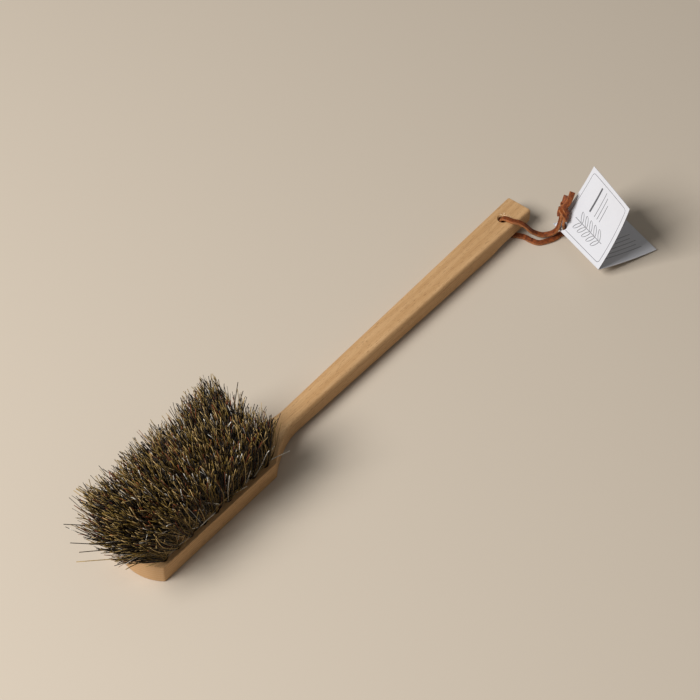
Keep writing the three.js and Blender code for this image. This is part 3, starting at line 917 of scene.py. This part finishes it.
def fibre_lean(bristles, x, y, rise):
    """How far a fibre rooted at (x, y) has leaned once it is that high above the board."""
    grown = (np.maximum(rise, 0) / bristles.fibre_length) ** bristles.lean_power
    far = smooth(y / bristles.far_edge)
    ahead = (np.maximum(bristles.lean_centre - x, 0) / bristles.toe_reach) ** bristles.toe_power
    behind = (np.maximum(x - bristles.lean_centre, 0) / bristles.heel_reach) ** bristles.heel_power
    near = smooth(-y / bristles.far_edge)
    toe = -(bristles.toe_lean + bristles.toe_near * near) * ahead * (1 - bristles.toe_fan * far)
    fanned = smooth((y - bristles.heel_fan_y) / (bristles.far_edge - bristles.heel_fan_y))
    middle = np.exp(-((y / bristles.heel_half) ** 2))
    heel = (bristles.heel_lean + bristles.heel_fan * fanned + bristles.heel_middle * middle) * behind
    outward = smooth((y - bristles.upright_y) / (bristles.full_y - bristles.upright_y))
    aside = bristles.far_lean * outward + bristles.toe_aside * ahead * (1 - far)
    push, _ = parting(bristles, x, y)
    return (toe + heel + push) * grown, aside * grown


def tip_rise(bristles, x, y):
    """The height at which a leaning fibre of the full length ends."""
    rounds = 12
    least = 0.001
    rise = np.full_like(x, bristles.fibre_length)
    for _ in range(rounds):
        away_x, away_y = fibre_lean(bristles, x, y, rise)
        rise = np.sqrt(np.maximum(least**2, bristles.fibre_length**2 - away_x**2 - away_y**2))
    return rise


def fibre_lines(bristles, centre, foot, draws):
    """Middle lines of one tuft's fibres, from the wire anchor to the tips."""
    cell_roundness = 0.6
    cell_stray = 0.0011
    usual_height = 0.975
    height_spread = 0.06
    height_limits = (0.76, 1.07)
    wild_share = 0.06
    wild_factor = 2.0
    count = bristles.fibres
    levels = np.linspace(0, 1, FIBRE_LEVELS)
    turn = draws.uniform(0, 2 * math.pi, count)
    out = np.sqrt(draws.uniform(0, 1, count))[:, None]
    circle = np.column_stack([np.cos(turn), np.sin(turn)])
    root = bristles.root_radius * out * circle
    square = np.sign(circle) * np.abs(circle) ** cell_roundness
    cell = square * out * (bristles.cell_x, bristles.cell_y)
    cell += draws.normal(0, cell_stray, (count, 2))
    own_x = centre.x + cell[:, 0]
    own_y = centre.y + cell[:, 1]
    _, depth = parting(bristles, own_x, own_y)
    tall = np.clip(draws.normal(usual_height, height_spread, count), *height_limits)
    tall *= 1 - bristles.parting_dip * depth
    wild = np.where(draws.uniform(0, 1, count) < wild_share, wild_factor, 1.0)[:, None]
    tilt = draws.normal(0, bristles.scatter, (count, 2)) * wild
    tilt += draws.normal(0, bristles.tuft_tilt, 2)
    bow = draws.normal(0, bristles.bow, (count, 2)) * wild
    hook = draws.normal(0, bristles.hook, (count, 2))

    rise = (tip_rise(bristles, own_x, own_y) * tall)[:, None] * levels
    opening = np.sqrt(levels)
    x = centre.x + root[:, :1] + (cell[:, :1] - root[:, :1]) * opening
    y = centre.y + root[:, 1:] + (cell[:, 1:] - root[:, 1:]) * opening
    away_x, away_y = fibre_lean(bristles, x, y, rise)
    bend = np.sin(math.pi * levels)
    growing = levels**1.4
    at_tip = levels**4
    x = x + away_x + tilt[:, :1] * growing + bow[:, :1] * bend + hook[:, :1] * at_tip
    y = y + away_y + tilt[:, 1:] * growing + bow[:, 1:] * bend + hook[:, 1:] * at_tip
    y -= np.maximum(y.max(axis=1, keepdims=True) - bristles.far_limit, 0) * growing
    x += np.maximum(bristles.toe_limit - x.min(axis=1, keepdims=True), 0) * growing
    return from_anchor(np.stack([x, y, BOARD_HIGH.z + rise], axis=2), centre, foot)


def from_anchor(lines, centre, foot):
    """The same lines with one more point each, down at the wire anchor."""
    inward = 0.1
    start = lines[:, 0, :] * (1 - inward) + np.array((centre.x, centre.y, 0)) * inward
    start[:, 2] = foot
    return np.concatenate([start[:, None, :], lines], axis=1)


def loose_lines(bristles, centre, foot, draws):
    """Middle lines of the bent fibres that cross low in front of a near tuft."""
    root_along = (-0.9, 0.9)
    root_aside = (0.3, 0.9)
    along_limits = (-0.022, 0.016)
    across_limits = (-0.0046, 0.0034)
    rise_limits = (0.004, 0.028)
    bow_spread = 0.0024
    bow_across = 0.5
    sweep_power = 1.3
    rise_power = 0.7
    count = bristles.loose
    levels = np.linspace(0, 1, FIBRE_LEVELS)
    start_x = centre.x + bristles.root_radius * draws.uniform(*root_along, count)
    start_y = centre.y - bristles.root_radius * draws.uniform(*root_aside, count)
    reach_x = draws.uniform(*along_limits, count)
    reach_y = draws.uniform(*across_limits, count)
    rise = draws.uniform(*rise_limits, count)
    bow = draws.normal(0, bow_spread, (count, 2))
    bend = np.sin(math.pi * levels)
    x = start_x[:, None] + reach_x[:, None] * levels**sweep_power + bow[:, :1] * bend
    y = start_y[:, None] + reach_y[:, None] * levels - np.abs(bow[:, 1:]) * bow_across * bend
    z = BOARD_HIGH.z + rise[:, None] * levels**rise_power
    return from_anchor(np.stack([x, y, z], axis=2), centre, foot)


def stray_line(centre, foot, tip):
    """Middle line of one fibre that bows out of its tuft to a given tip."""
    levels = np.linspace(0, 1, FIBRE_LEVELS)
    start = np.array((centre.x, centre.y, BOARD_HIGH.z))
    reach = np.array(tip) - start
    outward = levels**1.15
    upward = levels**0.85
    line = start + reach * np.column_stack([outward, outward, upward])
    return from_anchor(line[None, :, :], centre, foot)


def fibre_colours(bristles, count, shares, draws):
    """A colour for each fibre, from the kinds in their shares."""
    palette = np.array([tuple(getattr(bristles, kind)) for kind in FIBRE_KINDS])
    pick = draws.choice(len(palette), count, p=shares)
    brightness = draws.uniform(0.7, 1.35, (count, 1))
    return palette[pick] * brightness


def fibre_tubes(lines, radii, sides):
    """Points and faces of tapering closed tubes round middle lines, and each corner's bake UV."""
    count, rings, _ = lines.shape
    along = np.gradient(lines, axis=1)
    along /= np.linalg.norm(along, axis=2, keepdims=True)
    first = np.cross(along, (0.0, 1.0, 0.0))
    first /= np.linalg.norm(first, axis=2, keepdims=True)
    second = np.cross(along, first)
    tip_share = 0.72
    turn = np.linspace(0, 2 * math.pi, sides, endpoint=False)
    taper = np.linspace(1.0, tip_share, rings)
    radius = radii[:, None, None, None] * taper[None, :, None, None]
    spokes = first[:, :, None, :] * np.cos(turn)[:, None] + second[:, :, None, :] * np.sin(turn)[:, None]
    points = (lines[:, :, None, :] + radius * spokes).reshape(-1, 3)

    margin = 0.1
    columns = math.ceil(math.sqrt(count))
    one_faces, one_corners = tube(rings, sides)
    inset = margin + (1 - 2 * margin) * np.array(one_corners)
    faces = []
    corners = []
    for fibre in range(count):
        base = fibre * rings * sides
        faces += [tuple(base + index for index in face) for face in one_faces]
        corners.append((inset + (fibre % columns, fibre // columns)) / columns)
    return points, faces, np.concatenate(corners)


class BOOTBRUSH_OT_tufts(bpy.types.Operator):
    """Builds every tuft of plant fibre"""

    bl_idname = "boot_brush.tufts"
    bl_label = "Fibre Tufts"

    def execute(self, context):
        bristles = context.scene.boot_brush.bristles
        finish = fibre_finish()
        sides = 5
        wire_gap = 0.0002
        thickness_spread = 0.22
        thinnest = 0.55
        thickest = 1.5
        painted_root_shade = 0.42
        painted_tip_highlight = 1.08
        for number, (key, row, centre, wire_top) in enumerate(tuft_places()):
            draws = np.random.default_rng([bristles.seed, number])
            foot = wire_top + wire_gap
            lines = [fibre_lines(bristles, centre, foot, draws)]
            colours = [fibre_colours(bristles, bristles.fibres, FIBRE_SHARES, draws)]
            if row == "near":
                lines.append(loose_lines(bristles, centre, foot, draws))
                colours.append(fibre_colours(bristles, bristles.loose, LOOSE_SHARES, draws))
            strays = [(tip, kind) for tuft, tip, kind in STRAYS if tuft == key]
            for tip, kind in strays:
                lines.append(stray_line(centre, foot, tip))
                colours.append([tuple(getattr(bristles, kind))])
            lines = np.concatenate(lines)
            colours = np.concatenate(colours)
            thickness = np.clip(draws.normal(1.0, thickness_spread, len(lines)), thinnest, thickest)
            thickness[len(lines) - len(strays):] = thickest
            points, faces, corners = fibre_tubes(lines, bristles.fibre_radius * thickness, sides)
            piece = new_piece(f"fibres_{key}", points, faces, finish)
            # Each fibre's colour darkens towards its root as painted shade and lightens at its tip as a
            # painted highlight
            fade = np.linspace(painted_root_shade, painted_tip_highlight, lines.shape[1])
            colours_with_painted_light = colours[:, None, None, :] * fade[None, :, None, None] * np.ones((1, 1, sides, 1))
            colours_with_painted_light = np.concatenate([colours_with_painted_light, np.ones_like(colours_with_painted_light[..., :1])], axis=3)
            put_value(piece, "fibre_colour", colours_with_painted_light, "FLOAT_COLOR", "color")
            put_uv(piece, "OFBake", corners)
            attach(piece, "brush")
            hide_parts(f"tuft_{key}")
        return {"FINISHED"}


class BOOTBRUSH_OT_anchors(bpy.types.Operator):
    """Gives the wire anchors in the holes their steel"""

    bl_idname = "boot_brush.anchors"
    bl_label = "Wire Anchors"

    def execute(self, context):
        finish = wire_finish()
        for name, node in frame["nodes"].items():
            if name.startswith("anchor_"):
                node.data.materials.clear()
                node.data.materials.append(finish.material)
        return {"FINISHED"}


def smooth_route(points, spacing):
    """Evenly spaced points on one smooth curve through the given points."""
    fine_steps = 40
    given = np.asarray(points, float)
    gaps = np.sqrt(np.linalg.norm(np.diff(given, axis=0), axis=1))
    at = np.concatenate([[0.0], np.cumsum(gaps)])
    slope = np.gradient(given, at, axis=0)
    fine = np.linspace(0, at[-1], fine_steps * len(given))
    index = np.clip(np.searchsorted(at, fine, side="right") - 1, 0, len(given) - 2)
    width = (at[index + 1] - at[index])[:, None]
    t = (fine[:, None] - at[index][:, None]) / width
    curve = (
        (1 + 2 * t) * (1 - t) ** 2 * given[index]
        + t * (1 - t) ** 2 * width * slope[index]
        + t**2 * (3 - 2 * t) * given[index + 1]
        + t**2 * (t - 1) * width * slope[index + 1]
    )
    run = np.concatenate([[0.0], np.cumsum(np.linalg.norm(np.diff(curve, axis=0), axis=1))])
    even = np.linspace(0, run[-1], max(3, round(run[-1] / spacing) + 1))
    return np.column_stack([np.interp(even, run, curve[:, axis]) for axis in range(3)])


def carried_sides(path, first_side):
    """The path's direction at each point, and the strip's width direction, which turns only as it must."""
    along = np.gradient(path, axis=0)
    along /= np.linalg.norm(along, axis=1, keepdims=True)
    side = np.asarray(first_side, float)
    sides = []
    for direction in along:
        side = side - direction * (side @ direction)
        side = side / np.linalg.norm(side)
        sides.append(side)
    return along, np.array(sides)


def wandering(count, amount, draws):
    """Factors near 1 that wander smoothly along a strand."""
    fewest = 4
    rows_apart = 6
    points = max(fewest, count // rows_apart)
    strays = draws.normal(0, amount, points)
    return 1 + np.interp(np.linspace(0, 1, count), np.linspace(0, 1, points), strays)


def strip(path, first_side, lace, swell=1.0):
    """A flat strip with rounded corners along a path: points, faces, bake UVs and edge values."""
    roundness = 0.34
    profile = 18
    edge_power = 3
    corner_loss = 0.3
    along, sides = carried_sides(path, first_side)
    normals = np.cross(along, sides)
    turn = np.linspace(0, 2 * math.pi, profile, endpoint=False) + math.pi / profile
    across = np.sign(np.cos(turn)) * np.abs(np.cos(turn)) ** roundness
    up = np.sign(np.sin(turn)) * np.abs(np.sin(turn)) ** roundness
    swell = np.broadcast_to(swell, len(path))
    half_width = (lace.width / 2 * swell)[:, None, None]
    half_thickness = (lace.thickness / 2 * (2 - swell))[:, None, None]
    points = (
        path[:, None, :]
        + half_width * across[None, :, None] * sides[:, None, :]
        + half_thickness * up[None, :, None] * normals[:, None, :]
    )
    edge = np.tile(np.abs(across) ** edge_power * (1 - corner_loss * np.abs(up)), len(path))
    return points.reshape(-1, 3), *tube(len(path), profile), edge


def strip_piece(name, parts, finish):
    """One piece from several strips, with their edge values, and bake UVs side by side."""
    margin = 0.04
    sharp_above = math.radians(50)
    points, faces = joined([(points, faces) for points, faces, _, _ in parts])
    piece = new_piece(name, points, faces, finish)
    put_value(piece, "cut_edge", np.concatenate([edge for _, _, _, edge in parts]))
    places = []
    for number, (_, _, corners, _) in enumerate(parts):
        inset = margin + (1 - 2 * margin) * np.array(corners)
        places.append((inset + (number, 0)) / (len(parts), 1))
    put_uv(piece, "OFBake", np.concatenate(places))
    piece.data.set_sharp_from_angle(angle=sharp_above)
    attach(piece, "hanging_loop")
    return piece


class BOOTBRUSH_OT_lace(bpy.types.Operator):
    """Builds the two strands of the leather lace and the knot that ties them"""

    bl_idname = "boot_brush.lace"
    bl_label = "Leather Lace"

    def execute(self, context):
        lace = context.scene.boot_brush.lace
        finish = leather_finish(lace)
        draws = np.random.default_rng(lace.seed)
        spacing = 0.0008
        first_side = (1.0, 0.0, 0.0)
        knot = strip_piece("wrapped_knot", knot_strips(lace), finish)
        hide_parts("lace_knot")
        inside = knot_place(lace)
        # Each strand runs from the middle of the hanging hole, and its last two points lie inside the knot
        strands = {
            "upper_strand": [*LACE_ROUTE[HOLE_POINT::-1], inside(1.0, -1.5, 0.2), inside(3.5, -1.3, 0.6)],
            "lower_strand": [*LACE_ROUTE[HOLE_POINT:], inside(1.0, 1.5, 0.0), inside(3.5, 1.3, 0.0)],
        }
        for name, points in strands.items():
            path = smooth_route(points, spacing)
            strand = strip(path, first_side, lace, wandering(len(path), lace.uneven, draws))
            piece = strip_piece(name, [strand], finish)
            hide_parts("hanging_lace")
        return {"FINISHED"}


def knot_axes(lace):
    """Three directions: along the knot, to its right, and square to both, up and towards the head."""
    axis = np.array(lace.knot_axis)
    axis = axis / np.linalg.norm(axis)
    first = np.cross(axis, (0.0, 0.0, 1.0))
    first /= np.linalg.norm(first)
    return axis, first, np.cross(first, axis)


def knot_place(lace):
    """A function that gives the point so many millimetres along the knot, to its right and up from it."""
    axis, first, second = knot_axes(lace)

    def place(along, right, up):
        """The point in the brush's frame."""
        return np.array(lace.knot_foot) + MM * (along * axis + right * first + up * second)

    return place


def knot_strips(lace):
    """The knot's strips: two cores, two slanting wraps, the strand that crosses over, and a short tail."""
    axis, first, second = knot_axes(lace)
    place = knot_place(lace)
    spacing = 0.0006

    def wrap(start_turn, end_turn, start_along, end_along, reach):
        """A band wound round the knot, lower on its right than on its left."""
        slant = -2.2
        flatness = 0.86
        steps = 70
        turns = np.linspace(math.radians(start_turn), math.radians(end_turn), steps)
        rise = np.linspace(start_along, end_along, len(turns))
        path = [
            place(a + slant * math.cos(t), reach * math.cos(t), flatness * reach * math.sin(t))
            for t, a in zip(turns, rise)
        ]
        return strip(np.array(path), axis, lace)

    def run(side, *points):
        """A strip through points that are given along the knot, to its right and up from it."""
        path = smooth_route([place(*spot) for spot in points], spacing)
        return strip(path, side, lace)

    return [
        run(second, (1.0, 1.4, -0.6), (5.0, 1.2, -0.4), (10.0, 0.9, -0.2), (13.5, 0.6, 0.0)),
        run(second, (1.0, -1.4, 0.0), (5.0, -1.2, 0.2), (10.0, -0.9, 0.2), (13.5, -0.6, 0.0)),
        wrap(-100, 290, 1.5, 9.0, 3.9),
        wrap(-100, 290, 5.6, 13.2, 3.3),
        run(first, (2.0, -2.6, 0.6), (5.5, -3.4, 1.9), (8.5, -2.6, 3.6), (11.5, -0.4, 4.2), (15.0, 1.3, 3.2),
            (20.0, 1.9, 2.3), (25.5, 2.0, 1.9)),
        run(first, (9.0, -1.2, 0.4), (13.0, -2.0, 0.9), (17.0, -2.4, 0.8), (21.0, -2.4, 0.3)),
    ]


def tag_axes():
    """The lower end of the tag's spine, the way up the spine, the way out to its right, and its up."""
    fold = JOINTS["tag_fold"]
    corner = np.array(fold["pos_m"])
    spine = -np.array(fold["axis"])
    spine = spine / np.linalg.norm(spine)
    outward = np.cross(spine, (0.0, 0.0, 1.0))
    outward /= np.linalg.norm(outward)
    return corner, spine, outward, np.cross(outward, spine)


def leaf_line(lift, curl, side, out):
    """Places across the spine and slopes of a curled leaf, at distances from its fold."""
    bend = curl / side
    slope = lift + bend * out
    place = np.column_stack([np.sin(slope) - math.sin(lift), math.cos(lift) - np.cos(slope)]) / bend
    return place, slope


def front_lift_at(tag, height):
    """How steeply the front leaf leaves the fold, at a height along the spine."""
    return tag.front_lift + (tag.front_top_lift - tag.front_lift) * height / tag.side


def tag_row(tag, height):
    """One row across the folded card: its inner line, the ways outward, and distances from the fold.

    The distances are negative on the rear leaf.
    """
    columns = 22
    fold_steps = 8
    front_lift = front_lift_at(tag, height)
    half_opening = (front_lift - tag.rear_lift) / 2
    reach = tag.fold / math.tan(half_opening)
    out = np.linspace(reach, tag.side, columns)
    rear, rear_slope = leaf_line(tag.rear_lift, tag.rear_curl, tag.side, out)
    front, front_slope = leaf_line(front_lift, tag.front_curl, tag.side, out)
    rear_way = np.column_stack([np.sin(rear_slope), -np.cos(rear_slope)])
    front_way = np.column_stack([-np.sin(front_slope), np.cos(front_slope)])
    turn = np.linspace(tag.rear_lift - math.pi / 2, front_lift - 1.5 * math.pi, fold_steps + 2)[1:-1]
    fold_way = np.column_stack([np.cos(turn), np.sin(turn)])
    middle = front_lift - half_opening
    centre = tag.fold / math.sin(half_opening) * np.array((math.cos(middle), math.sin(middle)))
    line = np.concatenate([rear[::-1], centre + tag.fold * fold_way, front])
    ways = np.concatenate([rear_way[::-1], fold_way, front_way])
    run = np.concatenate([-out[::-1], np.linspace(-reach, reach, fold_steps), out])
    return line, ways, run


class BOOTBRUSH_OT_tag(bpy.types.Operator):
    """Builds the folded and punched card tag"""

    bl_idname = "boot_brush.tag"
    bl_label = "Card Tag"

    def execute(self, context):
        tag = context.scene.boot_brush.tag
        corner, spine, outward, up = tag_axes()
        rows = 26
        sharp_above = 40
        outer = []
        inner = []
        places = []
        for share_up in np.linspace(0, 1, rows):
            line, ways, run = tag_row(tag, share_up * tag.side)
            heights = share_up * np.where(run < 0, tag.side + tag.rear_top, tag.side)
            foot = corner + heights[:, None] * spine
            outside = line + tag.card * ways
            inner.append(foot + line[:, :1] * outward + line[:, 1:] * up)
            outer.append(foot + outside[:, :1] * outward + outside[:, 1:] * up)
            places.append(np.column_stack([run, heights]))
        count = len(run)
        sheet = rows * count
        faces = []
        for i in range(rows - 1):
            for j in range(count - 1):
                a = i * count + j
                faces.append((a, a + 1, a + count + 1, a + count))
                faces.append((sheet + a, sheet + a + count, sheet + a + count + 1, sheet + a + 1))
        rim = [i * count for i in range(rows)]
        rim += [(rows - 1) * count + j for j in range(1, count)]
        rim += [i * count + count - 1 for i in reversed(range(rows - 1))]
        rim += reversed(range(1, count - 1))
        for a, b in zip(rim, rim[1:] + rim[:1]):
            faces.append((a, b, sheet + b, sheet + a))
        piece = new_piece("folded_tag", np.concatenate(outer + inner), faces, card_finish(tag))
        put_value(piece, "outer_face", np.repeat([1.0, 0.0], sheet))
        places = np.concatenate(places + places)
        loops = np.array([loop.vertex_index for loop in piece.data.loops])
        put_uv(piece, "print", places[loops])
        self.punch(piece, tag, corner, spine, outward, up)
        crisp(piece, sharp_above)
        settle(piece)
        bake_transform(piece)
        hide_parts("tag_rear_leaf", "tag_front_leaf")
        return {"FINISHED"}

    def punch(self, piece, tag, corner, spine, outward, up):
        """Cuts the two holes that the lace runs through."""
        sides = 32
        reach = 0.002
        profile = ((tag.hole_radius, -reach), (tag.hole_radius, reach))
        height = tag.side - tag.hole_from_top
        plugs = []
        for lift, curl in ((tag.rear_lift, tag.rear_curl), (front_lift_at(tag, height), tag.front_curl)):
            line, slope = leaf_line(lift, curl, tag.side, np.array([tag.hole_from_spine]))
            lie = math.cos(slope[0]) * outward + math.sin(slope[0]) * up
            middle = corner + height * spine + line[0, 0] * outward + line[0, 1] * up
            plugs.append(turned(profile, middle, sides, (lie, spine, np.cross(lie, spine))))
        cut(piece, *joined(plugs))


def aim(item, place, target):
    """Puts a lamp or a camera at a place, looking at a target."""
    item.location = place
    item.rotation_mode = "QUATERNION"
    item.rotation_quaternion = (Vector(target) - Vector(place)).to_track_quat("-Z", "Y")


class BOOTBRUSH_OT_stage(bpy.types.Operator):
    """Sets the floor, the soft light and the camera"""

    bl_idname = "boot_brush.stage"
    bl_label = "Stage"

    def execute(self, context):
        stage = context.scene.boot_brush.stage
        scene = context.scene
        scene.view_settings.view_transform = "Standard"
        reach = 6.0
        below = -0.0002
        corners = [(x * reach, y * reach, below) for x, y in ((-1, -1), (1, -1), (1, 1), (-1, 1))]
        floor = new_piece("floor", corners, [(0, 1, 2, 3)], floor_finish(stage))

        lamp = bpy.data.lights.new("key", "AREA")
        lamp.size = stage.key_size
        lamp.energy = stage.key_power
        middle = (BOARD_LOW + BOARD_HIGH) / 2
        aim(new_object("key", lamp), Vector(stage.key_place) + middle, middle)

        world = bpy.data.worlds.new("even_light")
        world.use_nodes = True
        background = world.node_tree.nodes["Background"]
        background.inputs["Color"].default_value = (*stage.sky_tint, 1.0)
        background.inputs["Strength"].default_value = stage.sky
        scene.world = world

        view = bpy.data.cameras.new("camera")
        view.lens = stage.lens
        view.sensor_width = 36.0
        view.clip_end = 50.0
        scene.camera = new_object("camera", view)
        aim(scene.camera, stage.eye, stage.target)
        return {"FINISHED"}


class BOOTBRUSH_PT_sidebar(bpy.types.Panel):
    """Lists the pieces of the brush"""

    bl_label = "Boot Brush"
    bl_space_type = "VIEW_3D"
    bl_region_type = "UI"
    bl_category = "Boot Brush"

    def draw(self, context):
        for operator in OPERATORS:
            self.layout.operator(operator.bl_idname)


OPERATORS = (
    BOOTBRUSH_OT_stage,
    BOOTBRUSH_OT_lace,
    BOOTBRUSH_OT_board,
    BOOTBRUSH_OT_tufts,
    BOOTBRUSH_OT_anchors,
    BOOTBRUSH_OT_tag,
)
CLASSES = (
    BoardProperties,
    BristleProperties,
    LaceProperties,
    TagProperties,
    StageProperties,
    BrushProperties,
    *OPERATORS,
    BOOTBRUSH_PT_sidebar,
)


def register():
    """Makes the properties, the operators and the panel known to Blender."""
    for item in CLASSES:
        bpy.utils.register_class(item)
    bpy.types.Scene.boot_brush = PointerProperty(type=BrushProperties)


def unregister():
    """Takes them away again."""
    del bpy.types.Scene.boot_brush
    for item in reversed(CLASSES):
        bpy.utils.unregister_class(item)


def main():
    """Builds the stage and every piece."""
    register()
    bpy.ops.boot_brush.stage()
    bpy.ops.boot_brush.lace()
    bpy.ops.boot_brush.board()
    bpy.ops.boot_brush.tufts()
    bpy.ops.boot_brush.anchors()
    bpy.ops.boot_brush.tag()


if __name__ == "__main__":
    main()
